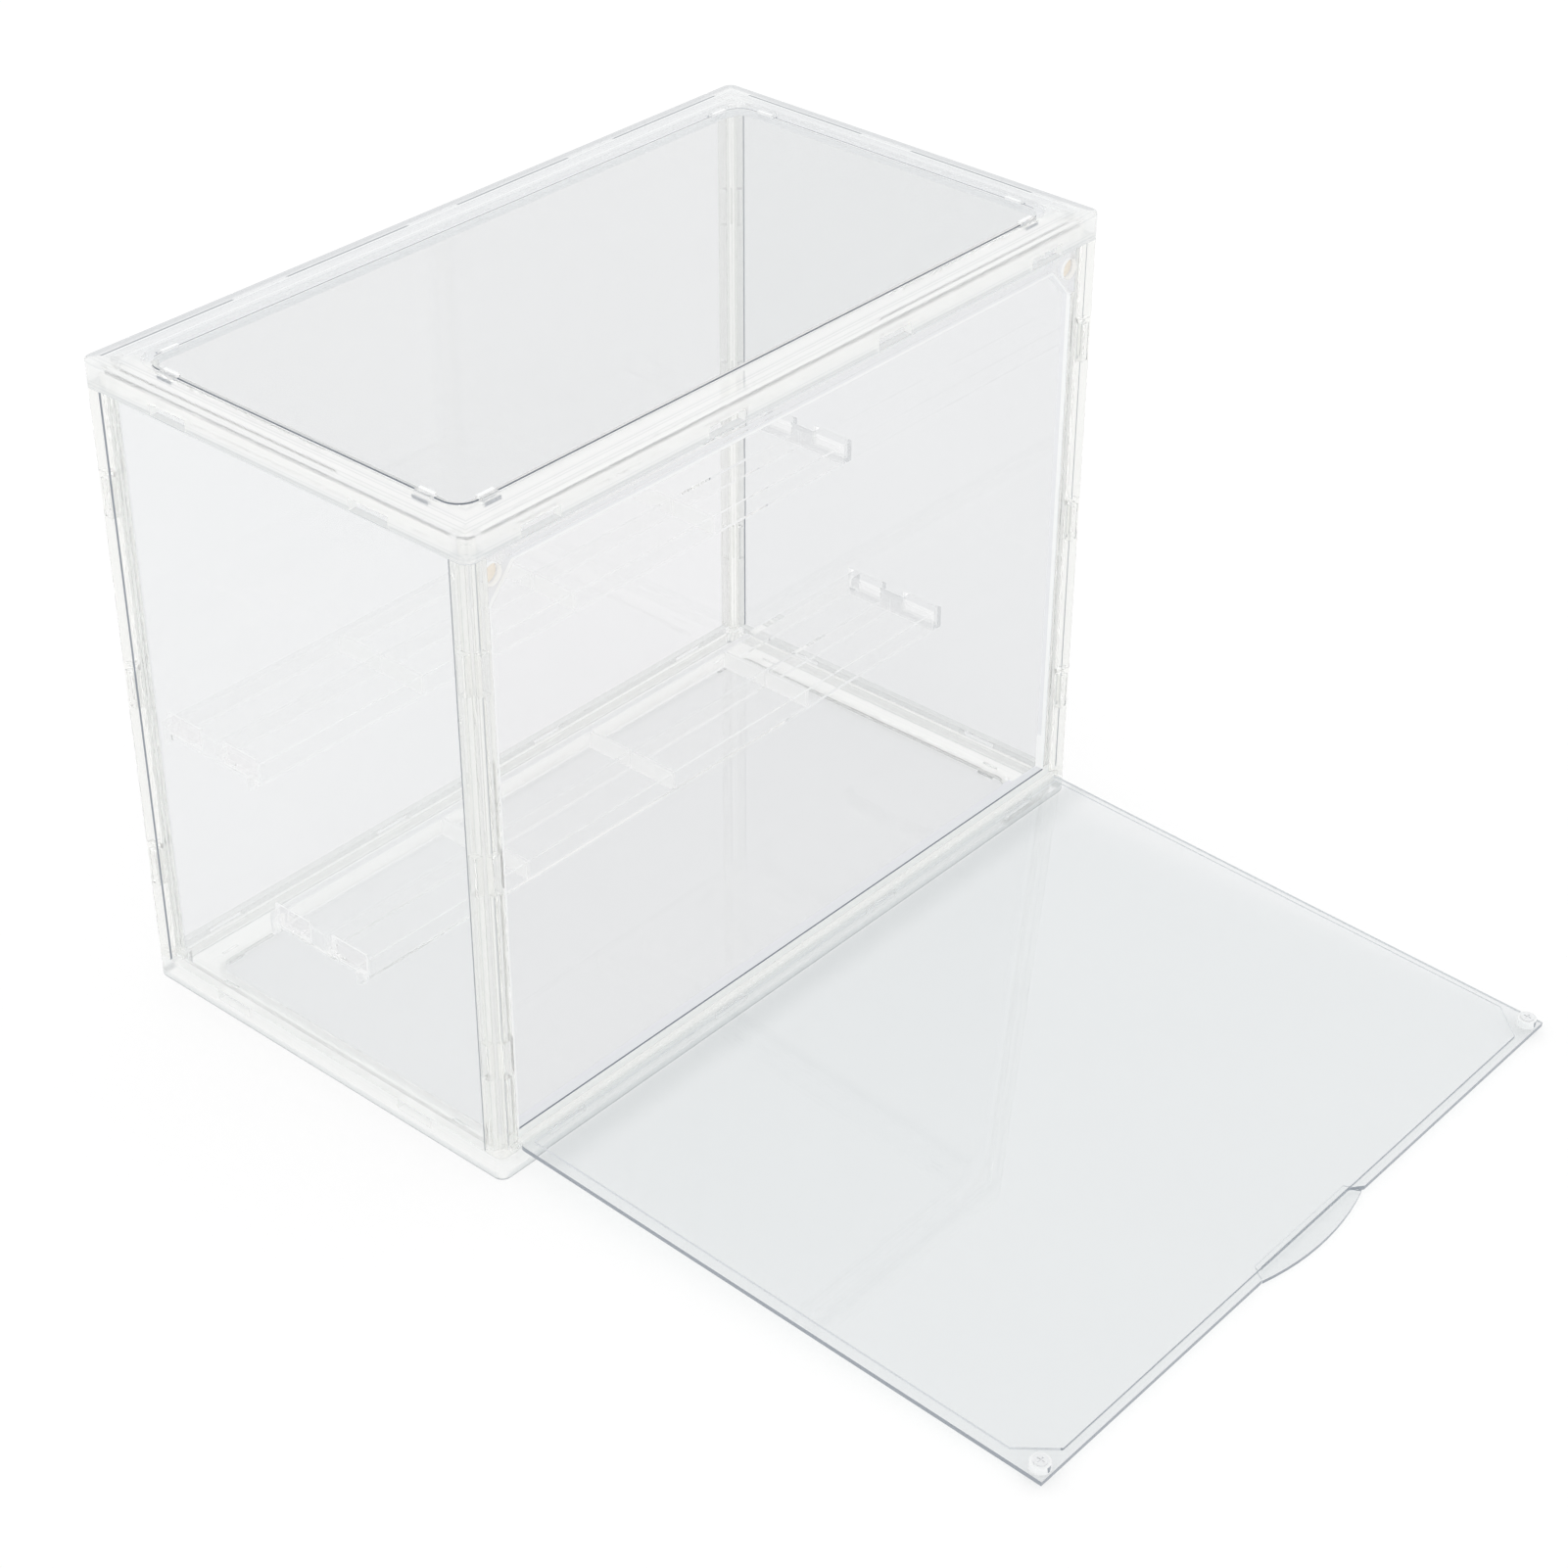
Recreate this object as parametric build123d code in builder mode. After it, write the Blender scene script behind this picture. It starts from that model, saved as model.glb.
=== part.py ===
from build123d import *
import math
import os

os.makedirs("parts", exist_ok=True)

# Case outline. X runs along the long side, the front faces -Y, the case stands on Z = 0.
case_length = 315.0
case_depth = 178.0
case_height = 250.0
half_x = case_length / 2
half_y = case_depth / 2
corner_round = 4.0
edge_round = 1.0

# Sheets, and the grooves that hold them by their edges.
sheet = 1.8
sheet_fit = 0.1
groove_width = sheet + 2 * sheet_fit

# Section of the base and top frames, widths measured inward from the outer face.
frame_height = 10.0
skirt = 3.0
groove_floor = 3.5
groove_back = skirt + groove_width
rib_width = 1.6
rib_back = groove_back + rib_width
rib_height = 8.5
flange = 4.4
sheet_face = skirt + sheet_fit
sheet_top = case_height - groove_floor - sheet_fit

# Opening of a frame, filled by the floor panel or the top panel.
rim_side = 12.6
rim_front = 15.4
rim_round = 8.0
ledge = 2.0
panel_recess = 1.0
panel_fit = 0.15

# A band round the opening lies lower than the panel, so the panel's edge stands clear of it.
band_width = 2.8
band_depth = 1.9

# Spring tabs that hold a panel in its frame, and the slot that lets each of them give.
tab_start_x = 8.0
tab_start_y = 11.0
tab_length = 7.0
tab_reach = 1.4
tab_lift = 0.1
tab_stem = 1.4
slot_width = 1.2

# Snap windows through the skirts of the frames and the outer faces of the posts.
rail_window = 17.0
rail_window_height = 4.0
rail_window_z = 7.5
front_window_margin = 31.5
front_window_pitch = (case_length - 2 * front_window_margin) / 3
side_window_margin = 42.5
side_window_pitch = case_depth - 2 * side_window_margin
post_window = 3.4
post_window_height = 15.0
post_window_inset = 5.3
post_window_margin = 50.0
post_window_pitch = case_height / 2 - post_window_margin
post_window_levels = [case_height / 2 + i * post_window_pitch for i in (-1, 0, 1)]

# Corner posts, with a spigot at each end that plugs into a corner block of the frame.
post_side = 8.1
post_front = 8.1
post_back = 8.1
post_grip = 2.2
front_grip = 2.2
spigot_inset = groove_back + 0.2
spigot_margin = 0.2
spigot_length = 5.0
spigot_fit = 0.1
block_start = 2.5
block_wall = 1.5
block_floor = 3.0
notch_gap = 0.2
sheet_end = post_side - post_grip + sheet_fit

# Shelves: a front one and a rear one on a higher level, hooked into the side panels.
shelf_depth = 45.0
shelf_height = 8.6
shelf_plate = 1.6
shelf_wall = 1.6
shelf_rib = 1.4
shelf_gap = 0.2
shelf_half = half_x - sheet_face - sheet - shelf_gap
bay_pitch = (2 * (shelf_half - shelf_wall) + shelf_rib) / 4
hook_length = 16.5
hook_drop = 2.2
hook_plate = 2.2
hook_fit = 0.1
hook_round = 0.6
slot_gap = 0.3
lower_shelf_y = -1.5
lower_shelf_z = 60.0
shelf_setback = 48.0
shelf_rise = 58.0

# Door hinge: a pin at each end of the door turns in a socket in a front post.
hinge_inset = 1.5
hinge_y = -half_y + hinge_inset
hinge_lift = 1.6
hinge_z = frame_height + hinge_lift
pin_radius = 1.0
pin_fit = 0.06
pin_length = 2.9
pin_end_gap = 0.2

# Door leaf. Lengths run from the hinge axis, heights are from the axis towards the inner face.
door_gap = 0.4
door_half = half_x - post_side - door_gap
door_head_gap = 5.1
door_reach = case_height - frame_height - hinge_z - door_head_gap
door_outer = -1.2
door_inner = door_outer + sheet
door_round = 4.0
bead_radius = 1.2
notch_half = 30.9
notch_floor_half = 26.3
notch_depth = 3.4
tongue_half = 29.8
tongue_shoulder = 0.3
tongue_tip = 3.9
tongue_lap = 2.3
tongue_proud = 0.9
tongue_outer = door_outer - tongue_proud
tongue_reach = door_reach + tongue_tip
tongue_thickness = 1.4
floor_gap = 0.1

# Opening of the door stop frame, with a gusset across each upper corner.
stop_margin = 11.8
stop_half = half_x - stop_margin
sill_height = 5.0
stop_sill = frame_height + sill_height
head_drop = 8.0
stop_head = case_height - frame_height - head_drop
gusset_x = 10.5
gusset_z = 12.0
lip_width = 1.5
lip_depth = 2.0
gusset_depth = 5.4
gusset_gap = 0.2

# Raised inner field of the door, standing inside the opening when the door is shut.
field_height = 1.0
field_gap = 0.6
field_start = 5.0
field_head_gap = 0.1
field_cut = 0.4

# Catch: a steel screw in a boss on the door meets a magnet set in the gusset.
catch_inset = 4.6
catch_x = door_half - catch_inset
catch_setback = 4.2
catch_reach = door_reach - catch_setback
boss_radius = 3.5
boss_height = 2.6
screw_radius = 1.0
screw_fit = 0.05
screw_length = 3.0
head_radius = 2.4
head_height = 0.5
cross_length = 2.8
cross_width = 0.55
cross_depth = 0.35
catch_gap = 0.3
magnet_radius = 3.65
magnet_thickness = 2.0
magnet_fit = 0.05
bore_fit = 0.4
bore_radius = boss_radius + bore_fit

# The open door leans down until its thumb tongue all but meets the floor.
leaf_lean = math.asin((hinge_z - floor_gap) / math.hypot(tongue_reach, tongue_outer))
door_open = math.radians(90) + leaf_lean - math.atan2(-tongue_outer, tongue_reach)


def corner_rect(side, face, u, v, mode=Mode.ADD):
    """Rectangle spanning u inward of a side face and v inward of the front or back face."""
    with Locations((side * (half_x - (u[0] + u[1]) / 2), face * (half_y - (v[0] + v[1]) / 2))):
        Rectangle(u[1] - u[0], v[1] - v[0], mode=mode)


def rim_outline(inset):
    """Outline of the frame opening, drawn in by inset."""
    RectangleRounded(
        case_length - 2 * (rim_side + inset),
        case_depth - 2 * (rim_front + inset),
        rim_round - inset,
    )


def upright(y):
    """Plane facing the front at depth y, with sketch axes X and Z."""
    return Plane(origin=(0, y, 0), x_dir=(1, 0, 0), z_dir=(0, -1, 0))


def leaf(height):
    """Plane parallel to the open door at a height over the hinge axis, facing the outer side."""
    return Plane(
        origin=(
            0,
            hinge_y + height * math.cos(door_open),
            hinge_z + height * math.sin(door_open),
        ),
        x_dir=(1, 0, 0),
        z_dir=(0, -math.cos(door_open), -math.sin(door_open)),
    )


def sheet_outline(start, end, start_notch, end_notch):
    """Upright sheet between the frames, its corners cut clear of the corner blocks."""
    height = sheet_top - groove_floor
    cut = frame_height + notch_gap - groove_floor
    with Locations(((start + end) / 2, groove_floor + height / 2)):
        Rectangle(end - start, height)
    for z in (groove_floor + cut / 2, sheet_top - cut / 2):
        with Locations((start + start_notch / 2, z)):
            Rectangle(start_notch, cut, mode=Mode.SUBTRACT)
        with Locations((end - end_notch / 2, z)):
            Rectangle(end_notch, cut, mode=Mode.SUBTRACT)


# Base frame: skirt, groove, rib and flange round an opening with a ledge.
with BuildPart() as base_frame:
    with BuildSketch():
        RectangleRounded(case_length, case_depth, corner_round)
    extrude(amount=frame_height)
    fillet(base_frame.faces().sort_by(Axis.Z)[0].edges(), edge_round)
    with BuildSketch(Plane.XY.offset(groove_floor)):
        Rectangle(case_length - 2 * skirt, case_depth - 2 * skirt)
        Rectangle(case_length - 2 * groove_back, case_depth - 2 * groove_back, mode=Mode.SUBTRACT)
    extrude(amount=frame_height - groove_floor, mode=Mode.SUBTRACT)
    with BuildSketch(Plane.XY.offset(rib_height)):
        Rectangle(case_length - 2 * groove_back, case_depth - 2 * groove_back)
    extrude(amount=frame_height - rib_height, mode=Mode.SUBTRACT)
    with BuildSketch(Plane.XY.offset(flange)):
        Rectangle(case_length - 2 * rib_back, case_depth - 2 * rib_back)
    extrude(amount=rib_height - flange, mode=Mode.SUBTRACT)
    # Corner blocks, and the pockets that take the post spigots.
    with BuildSketch(Plane.XY.offset(block_floor)):
        for side in (-1, 1):
            for face, depth in ((-1, post_front), (1, post_back)):
                corner_rect(
                    side,
                    face,
                    (block_start, post_side + block_wall),
                    (block_start, depth + block_wall),
                )
    extrude(amount=frame_height - block_floor)
    with BuildSketch(Plane.XY.offset(flange)):
        for side in (-1, 1):
            for face, depth in ((-1, post_front), (1, post_back)):
                corner_rect(
                    side,
                    face,
                    (spigot_inset - spigot_fit, post_side - spigot_margin + spigot_fit),
                    (spigot_inset - spigot_fit, depth - spigot_margin + spigot_fit),
                )
    extrude(amount=frame_height - flange, mode=Mode.SUBTRACT)
    # The band, then the opening: full size up to the ledge, smaller through it.
    with BuildSketch():
        rim_outline(-band_width)
    extrude(amount=band_depth, mode=Mode.SUBTRACT)
    with BuildSketch():
        rim_outline(0)
    extrude(amount=panel_recess + sheet, mode=Mode.SUBTRACT)
    with BuildSketch():
        rim_outline(ledge)
    extrude(amount=flange, mode=Mode.SUBTRACT)
    # Two spring tabs by each corner of the opening: a stem on the band and a lip over the panel.
    along_x = (rim_side + tab_start_x, rim_side + tab_start_x + tab_length)
    along_y = (rim_front + tab_start_y, rim_front + tab_start_y + tab_length)
    slot = tab_stem + slot_width
    for inner, outer, depth in ((0, -tab_stem, band_depth), (tab_reach, 0, panel_recess)):
        with BuildSketch(Plane.XY.offset(tab_lift)):
            for side in (-1, 1):
                for face in (-1, 1):
                    corner_rect(side, face, along_x, (rim_front + outer, rim_front + inner))
                    corner_rect(side, face, (rim_side + outer, rim_side + inner), along_y)
        extrude(amount=depth - tab_lift)
    with BuildSketch():
        for side in (-1, 1):
            for face in (-1, 1):
                corner_rect(side, face, along_x, (rim_front - slot, rim_front - tab_stem))
                corner_rect(side, face, (rim_side - slot, rim_side - tab_stem), along_y)
    extrude(amount=flange, mode=Mode.SUBTRACT)
    # Snap windows through the skirt.
    with Locations((0, 0, rail_window_z)):
        with GridLocations(front_window_pitch, case_depth, 4, 2):
            Box(rail_window, 2 * skirt, rail_window_height, mode=Mode.SUBTRACT)
        with GridLocations(case_length, side_window_pitch, 2, 2):
            Box(2 * skirt, rail_window, rail_window_height, mode=Mode.SUBTRACT)
base_frame.part.label = "base_frame"
export_step(base_frame.part, "parts/base_frame.step")

# Top frame: the same moulding turned over.
with BuildPart() as top_frame:
    mirror(base_frame.part, about=Plane.XY.offset(case_height / 2))
top_frame.part.label = "top_frame"
export_step(top_frame.part, "parts/top_frame.step")

# Floor panel, held between the ledge and the spring tabs of the base frame.
with BuildPart() as panel_bottom:
    with BuildSketch(Plane.XY.offset(panel_recess)):
        rim_outline(panel_fit)
    extrude(amount=sheet)
panel_bottom.part.label = "panel_bottom"
export_step(panel_bottom.part, "parts/panel_bottom.step")

# Top panel: the same sheet in the top frame.
with BuildPart() as panel_top:
    mirror(panel_bottom.part, about=Plane.XY.offset(case_height / 2))
panel_top.part.label = "panel_top"
export_step(panel_top.part, "parts/panel_top.step")

# Front left post: grooves for the side panel and the door stop frame, and the hinge socket.
with BuildPart() as post_front_left:
    with BuildSketch(Plane.XY.offset(frame_height)) as front_section:
        corner_rect(-1, -1, (0, post_side), (0, post_front))
        fillet(front_section.vertices().sort_by(Axis.X)[0:2].sort_by(Axis.Y)[0], corner_round)
        corner_rect(
            -1,
            -1,
            (skirt, groove_back),
            (post_front - front_grip, post_front),
            mode=Mode.SUBTRACT,
        )
        corner_rect(
            -1,
            -1,
            (post_side - post_grip, post_side),
            (skirt, groove_back),
            mode=Mode.SUBTRACT,
        )
    extrude(amount=case_height - 2 * frame_height)
    with BuildSketch(Plane.XY.offset(frame_height - spigot_length)):
        corner_rect(
            -1,
            -1,
            (spigot_inset, post_side - spigot_margin),
            (spigot_inset, post_front - spigot_margin),
        )
    extrude(amount=case_height - 2 * frame_height + 2 * spigot_length)
    for level in post_window_levels:
        with Locations((-half_x + post_window_inset, -half_y, level)):
            Box(post_window, 2 * skirt, post_window_height, mode=Mode.SUBTRACT)
        with Locations((-half_x, -half_y + post_window_inset, level)):
            Box(2 * skirt, post_window, post_window_height, mode=Mode.SUBTRACT)
    with Locations((-half_x + post_side, hinge_y, hinge_z)):
        Cylinder(
            pin_radius + pin_fit,
            2 * (pin_length - door_gap + pin_end_gap),
            rotation=(0, 90, 0),
            mode=Mode.SUBTRACT,
        )
post_front_left.part.label = "post_front_left"
export_step(post_front_left.part, "parts/post_front_left.step")

with BuildPart() as post_front_right:
    mirror(post_front_left.part, about=Plane.YZ)
post_front_right.part.label = "post_front_right"
export_step(post_front_right.part, "parts/post_front_right.step")

# Back left post: grooves for the side panel and the back panel.
with BuildPart() as post_back_left:
    with BuildSketch(Plane.XY.offset(frame_height)) as back_section:
        corner_rect(-1, 1, (0, post_side), (0, post_back))
        fillet(back_section.vertices().sort_by(Axis.X)[0:2].sort_by(Axis.Y)[-1], corner_round)
        corner_rect(
            -1,
            1,
            (skirt, groove_back),
            (post_back - post_grip, post_back),
            mode=Mode.SUBTRACT,
        )
        corner_rect(
            -1,
            1,
            (post_side - post_grip, post_side),
            (skirt, groove_back),
            mode=Mode.SUBTRACT,
        )
    extrude(amount=case_height - 2 * frame_height)
    with BuildSketch(Plane.XY.offset(frame_height - spigot_length)):
        corner_rect(
            -1,
            1,
            (spigot_inset, post_side - spigot_margin),
            (spigot_inset, post_back - spigot_margin),
        )
    extrude(amount=case_height - 2 * frame_height + 2 * spigot_length)
    for level in post_window_levels:
        with Locations((-half_x + post_window_inset, half_y, level)):
            Box(post_window, 2 * skirt, post_window_height, mode=Mode.SUBTRACT)
        with Locations((-half_x, half_y - post_window_inset, level)):
            Box(2 * skirt, post_window, post_window_height, mode=Mode.SUBTRACT)
post_back_left.part.label = "post_back_left"
export_step(post_back_left.part, "parts/post_back_left.step")

with BuildPart() as post_back_right:
    mirror(post_back_left.part, about=Plane.YZ)
post_back_right.part.label = "post_back_right"
export_step(post_back_right.part, "parts/post_back_right.step")

# Left panel, with a slot for each of the two hooks at the ends of the shelves.
side_start = -half_y + post_front - front_grip + sheet_fit
side_end = half_y - sheet_end
side_start_notch = -half_y + post_front + block_wall + notch_gap - side_start
side_end_notch = side_end - (half_y - post_back - block_wall - notch_gap)
hook_pitch = shelf_depth - hook_length
with BuildPart() as panel_left:
    with BuildSketch(Plane.YZ.offset(-half_x + sheet_face)):
        sheet_outline(side_start, side_end, side_start_notch, side_end_notch)
        slot_height = shelf_height + slot_gap
        slot_z = lower_shelf_z - shelf_height + hook_drop + slot_height / 2
        for step in (0, 1):
            with Locations((lower_shelf_y + step * shelf_setback, slot_z + step * shelf_rise)):
                with GridLocations(hook_pitch, 1, 2, 1):
                    Rectangle(hook_length + 2 * slot_gap, slot_height, mode=Mode.SUBTRACT)
    extrude(amount=sheet)
panel_left.part.label = "panel_left"
export_step(panel_left.part, "parts/panel_left.step")

with BuildPart() as panel_right:
    mirror(panel_left.part, about=Plane.YZ)
panel_right.part.label = "panel_right"
export_step(panel_right.part, "parts/panel_right.step")

# Back panel.
back_half = half_x - sheet_end
back_notch = back_half - (half_x - post_side - block_wall - notch_gap)
with BuildPart() as panel_back:
    with BuildSketch(upright(half_y - sheet_face)):
        sheet_outline(-back_half, back_half, back_notch, back_notch)
    extrude(amount=sheet)
panel_back.part.label = "panel_back"
export_step(panel_back.part, "parts/panel_back.step")

# Door stop frame: sheet round the door opening, return lip, and gussets that hold the magnets.
stop_face = -half_y + sheet_face
stop_back = stop_face + sheet
magnet_face = hinge_y + door_inner + boss_height + head_height + catch_gap
catch_z = hinge_z + catch_reach
gusset_edge = half_x - post_side - gusset_gap
gusset_head = case_height - frame_height - gusset_gap
with BuildPart() as door_stop_frame:
    with BuildSketch(upright(stop_back)):
        sheet_outline(-back_half, back_half, back_notch, back_notch)
    extrude(amount=sheet)
    with BuildSketch(upright(stop_back + lip_depth)):
        with Locations((0, (stop_sill + stop_head) / 2)):
            Rectangle(2 * (stop_half + lip_width), stop_head - stop_sill + 2 * lip_width)
    extrude(amount=lip_depth)
    with BuildSketch(upright(stop_face + gusset_depth)):
        for side in (-1, 1):
            with BuildLine():
                Polyline(
                    (side * (stop_half - gusset_x), stop_head),
                    (side * stop_half, stop_head - gusset_z),
                    (side * gusset_edge, stop_head - gusset_z),
                    (side * gusset_edge, gusset_head),
                    (side * (stop_half - gusset_x), gusset_head),
                    close=True,
                )
            make_face()
    extrude(amount=gusset_depth - sheet)
    with BuildSketch(upright(stop_face + gusset_depth)):
        with BuildLine():
            Polyline(
                (-stop_half, stop_sill),
                (stop_half, stop_sill),
                (stop_half, stop_head - gusset_z),
                (stop_half - gusset_x, stop_head),
                (-stop_half + gusset_x, stop_head),
                (-stop_half, stop_head - gusset_z),
                close=True,
            )
        make_face()
    extrude(amount=gusset_depth, mode=Mode.SUBTRACT)
    with BuildSketch(upright(magnet_face)):
        with Locations((-catch_x, catch_z), (catch_x, catch_z)):
            Circle(bore_radius)
    extrude(amount=magnet_face - stop_face, mode=Mode.SUBTRACT)
    with BuildSketch(upright(magnet_face + magnet_thickness)):
        with Locations((-catch_x, catch_z), (catch_x, catch_z)):
            Circle(magnet_radius + magnet_fit)
    extrude(amount=magnet_thickness, mode=Mode.SUBTRACT)
door_stop_frame.part.label = "door_stop_frame"
export_step(door_stop_frame.part, "parts/door_stop_frame.step")

with BuildPart() as magnet_left:
    with BuildSketch(upright(magnet_face + magnet_thickness)):
        with Locations((-catch_x, catch_z)):
            Circle(magnet_radius)
    extrude(amount=magnet_thickness)
magnet_left.part.label = "magnet_left"
export_step(magnet_left.part, "parts/magnet_left.step")

with BuildPart() as magnet_right:
    mirror(magnet_left.part, about=Plane.YZ)
magnet_right.part.label = "magnet_right"
export_step(magnet_right.part, "parts/magnet_right.step")

# Lower shelf: a plate on skirts and ribs, with two hooks at each end. A hook carries on the
# plate and the outer skirt, so it is open underneath.
with BuildPart() as shelf_lower:
    with BuildSketch(Plane.XY.offset(lower_shelf_z - shelf_height)):
        with Locations((0, lower_shelf_y)):
            Rectangle(2 * shelf_half, shelf_depth)
            with GridLocations(1, hook_pitch, 1, 2):
                Rectangle(case_length, hook_length)
    extrude(amount=shelf_height)
    hook_ends = shelf_lower.edges().filter_by(Axis.Z).group_by(Axis.X)
    fillet(hook_ends[0] + hook_ends[-1], hook_round)
    with BuildSketch(Plane.XY.offset(lower_shelf_z - shelf_height)):
        with Locations((0, lower_shelf_y)):
            bay_width = (shelf_depth - shelf_rib) / 2 - shelf_wall
            with GridLocations(bay_pitch, bay_width + shelf_rib, 4, 2):
                Rectangle(bay_pitch - shelf_rib, bay_width)
    extrude(amount=shelf_height - shelf_plate, mode=Mode.SUBTRACT)
    with BuildSketch(Plane.XY.offset(lower_shelf_z - shelf_height)):
        with Locations((0, lower_shelf_y)):
            with GridLocations(shelf_half + half_x, hook_pitch - shelf_wall, 2, 2):
                Rectangle(half_x - shelf_half, hook_length - shelf_wall)
    extrude(amount=shelf_height - hook_plate, mode=Mode.SUBTRACT)
    with BuildSketch(Plane.XY.offset(lower_shelf_z - shelf_height)):
        with Locations((0, lower_shelf_y)):
            with GridLocations(2 * (half_x - sheet_face - sheet / 2), 1, 2, 1):
                Rectangle(sheet + 2 * hook_fit, shelf_depth)
    extrude(amount=hook_drop, mode=Mode.SUBTRACT)
shelf_lower.part.label = "shelf_lower"
export_step(shelf_lower.part, "parts/shelf_lower.step")

# Upper shelf: the same moulding, further back and one step up.
with BuildPart() as shelf_upper:
    add(shelf_lower.part.moved(Location((0, shelf_setback, shelf_rise))))
shelf_upper.part.label = "shelf_upper"
export_step(shelf_upper.part, "parts/shelf_upper.step")

# Door leaf, drawn in the open position: sheet, hinge bead and pins, raised field, bosses, tongue.
with BuildPart() as door_panel:
    with BuildSketch(leaf(door_inner)) as leaf_outline:
        with Locations((0, door_reach / 2)):
            Rectangle(2 * door_half, door_reach)
        fillet(leaf_outline.vertices().sort_by(Axis.Y)[0:2], door_round)
        with BuildLine():
            Polyline(
                (-notch_half, door_reach),
                (-notch_floor_half, door_reach - notch_depth),
                (notch_floor_half, door_reach - notch_depth),
                (notch_half, door_reach),
                close=True,
            )
        make_face(mode=Mode.SUBTRACT)
    extrude(amount=sheet)
    with Locations((0, hinge_y, hinge_z)):
        Cylinder(bead_radius, 2 * door_half, rotation=(0, 90, 0))
        Cylinder(pin_radius, 2 * (door_half + pin_length), rotation=(0, 90, 0))
    field_half = stop_half - field_gap
    field_end = stop_head - field_head_gap - hinge_z
    with BuildSketch(leaf(door_inner + field_height)):
        with BuildLine():
            Polyline(
                (-field_half, field_start),
                (field_half, field_start),
                (field_half, field_end - gusset_z - field_cut),
                (field_half - gusset_x - field_cut, field_end),
                (-field_half + gusset_x + field_cut, field_end),
                (-field_half, field_end - gusset_z - field_cut),
                close=True,
            )
        make_face()
    extrude(amount=field_height)
    with BuildSketch(leaf(door_inner + boss_height)):
        with Locations((-catch_x, catch_reach), (catch_x, catch_reach)):
            Circle(boss_radius)
    extrude(amount=boss_height)
    with BuildSketch(leaf(door_inner + boss_height)):
        with Locations((-catch_x, catch_reach), (catch_x, catch_reach)):
            Circle(screw_radius + screw_fit)
    extrude(amount=screw_length, mode=Mode.SUBTRACT)
    with BuildSketch(leaf(tongue_outer + tongue_thickness)):
        with BuildLine():
            shoulder = door_reach - tongue_shoulder
            root = door_reach - notch_depth - tongue_lap
            ThreePointArc((-tongue_half, shoulder), (0, tongue_reach), (tongue_half, shoulder))
            Polyline(
                (tongue_half, shoulder),
                (notch_floor_half, root),
                (-notch_floor_half, root),
                (-tongue_half, shoulder),
            )
        make_face()
    extrude(amount=tongue_thickness)
door_panel.part.label = "door_panel"
export_step(door_panel.part, "parts/door_panel.step")

# Strike screw: flat head with a cross recess, shank in the boss.
boss_top = door_inner + boss_height
with BuildPart() as strike_screw_left:
    with BuildSketch(leaf(boss_top + head_height)):
        with Locations((-catch_x, catch_reach)):
            Circle(head_radius)
    extrude(amount=head_height)
    with BuildSketch(leaf(boss_top)):
        with Locations((-catch_x, catch_reach)):
            Circle(screw_radius)
    extrude(amount=screw_length - screw_fit)
    with BuildSketch(leaf(boss_top + head_height)):
        with Locations((-catch_x, catch_reach)):
            Rectangle(cross_length, cross_width)
            Rectangle(cross_width, cross_length)
    extrude(amount=cross_depth, mode=Mode.SUBTRACT)
strike_screw_left.part.label = "strike_screw_left"
export_step(strike_screw_left.part, "parts/strike_screw_left.step")

with BuildPart() as strike_screw_right:
    mirror(strike_screw_left.part, about=Plane.YZ)
strike_screw_right.part.label = "strike_screw_right"
export_step(strike_screw_right.part, "parts/strike_screw_right.step")
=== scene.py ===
import math

import bpy
from mathutils import Matrix, Vector


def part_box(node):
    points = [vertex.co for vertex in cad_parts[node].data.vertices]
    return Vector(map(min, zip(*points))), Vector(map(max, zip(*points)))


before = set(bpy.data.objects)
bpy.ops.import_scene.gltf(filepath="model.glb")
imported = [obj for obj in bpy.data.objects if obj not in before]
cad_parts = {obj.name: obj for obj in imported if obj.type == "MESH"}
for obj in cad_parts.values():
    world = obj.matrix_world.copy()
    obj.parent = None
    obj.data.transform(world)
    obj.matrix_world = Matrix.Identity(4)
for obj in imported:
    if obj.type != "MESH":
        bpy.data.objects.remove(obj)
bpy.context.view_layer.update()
bpy.ops.object.select_all(action="DESELECT")

# Camera, measured on the photograph: a long lens above the left end of the case. Angles are in
# degrees and the width of the sensor is in millimetres, as Blender has it. All other sizes and
# places in this script are in metres.
PHOTO_SIZE = 1601
CAMERA_AZIMUTH = -50.3079
CAMERA_HEIGHT = 33.9969
CAMERA_ROLL = 0.9716
CAMERA_AIM = (-0.0396, -0.1371, 0.125)
CAMERA_DISTANCE = 1.0728
FOCAL_PIXELS = 3308.73
SHIFT_RIGHT_PIXELS = 60.04
SHIFT_DOWN_PIXELS = -0.77
SENSOR_WIDTH = 36.0
CLIP_START = 0.01

# Outline of the case and the upper side of its top sheet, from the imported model.
HALF_LENGTH, HALF_DEPTH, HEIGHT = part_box("top_frame")[1]
PANEL_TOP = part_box("panel_top")[1].z

# Frames. Widths run inward from the outline of the case. Heights are above the floor, except
# TOP_SKIN, which is below the top, and LOWER_EDGE, which is above the lower edge of the top frame.
FRAME_HEIGHT = 0.010
RAIL_SIDE = 0.0126
RAIL_FRONT = 0.0154
OPENING_X = HALF_LENGTH - RAIL_SIDE
OPENING_Y = HALF_DEPTH - RAIL_FRONT
CORNER_LENGTH = 0.0165
CORNER_DEPTH = 0.017
TOP_SKIN = 0.0018
SKIRT_FACES = 0.0033
OUTER_FACE = 0.0002
FOOT_WIDTH = 0.002
FOOT_HEIGHT = 0.001
BASE_HEIGHT = 0.0032
FLANGE_LEVEL = 0.003
LOWER_EDGE = 0.0003
LEDGE_Y = -(OPENING_Y - 0.0008)
LEDGE_REACH = 0.0018
LEDGE_HALF_LENGTH = 0.144

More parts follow.
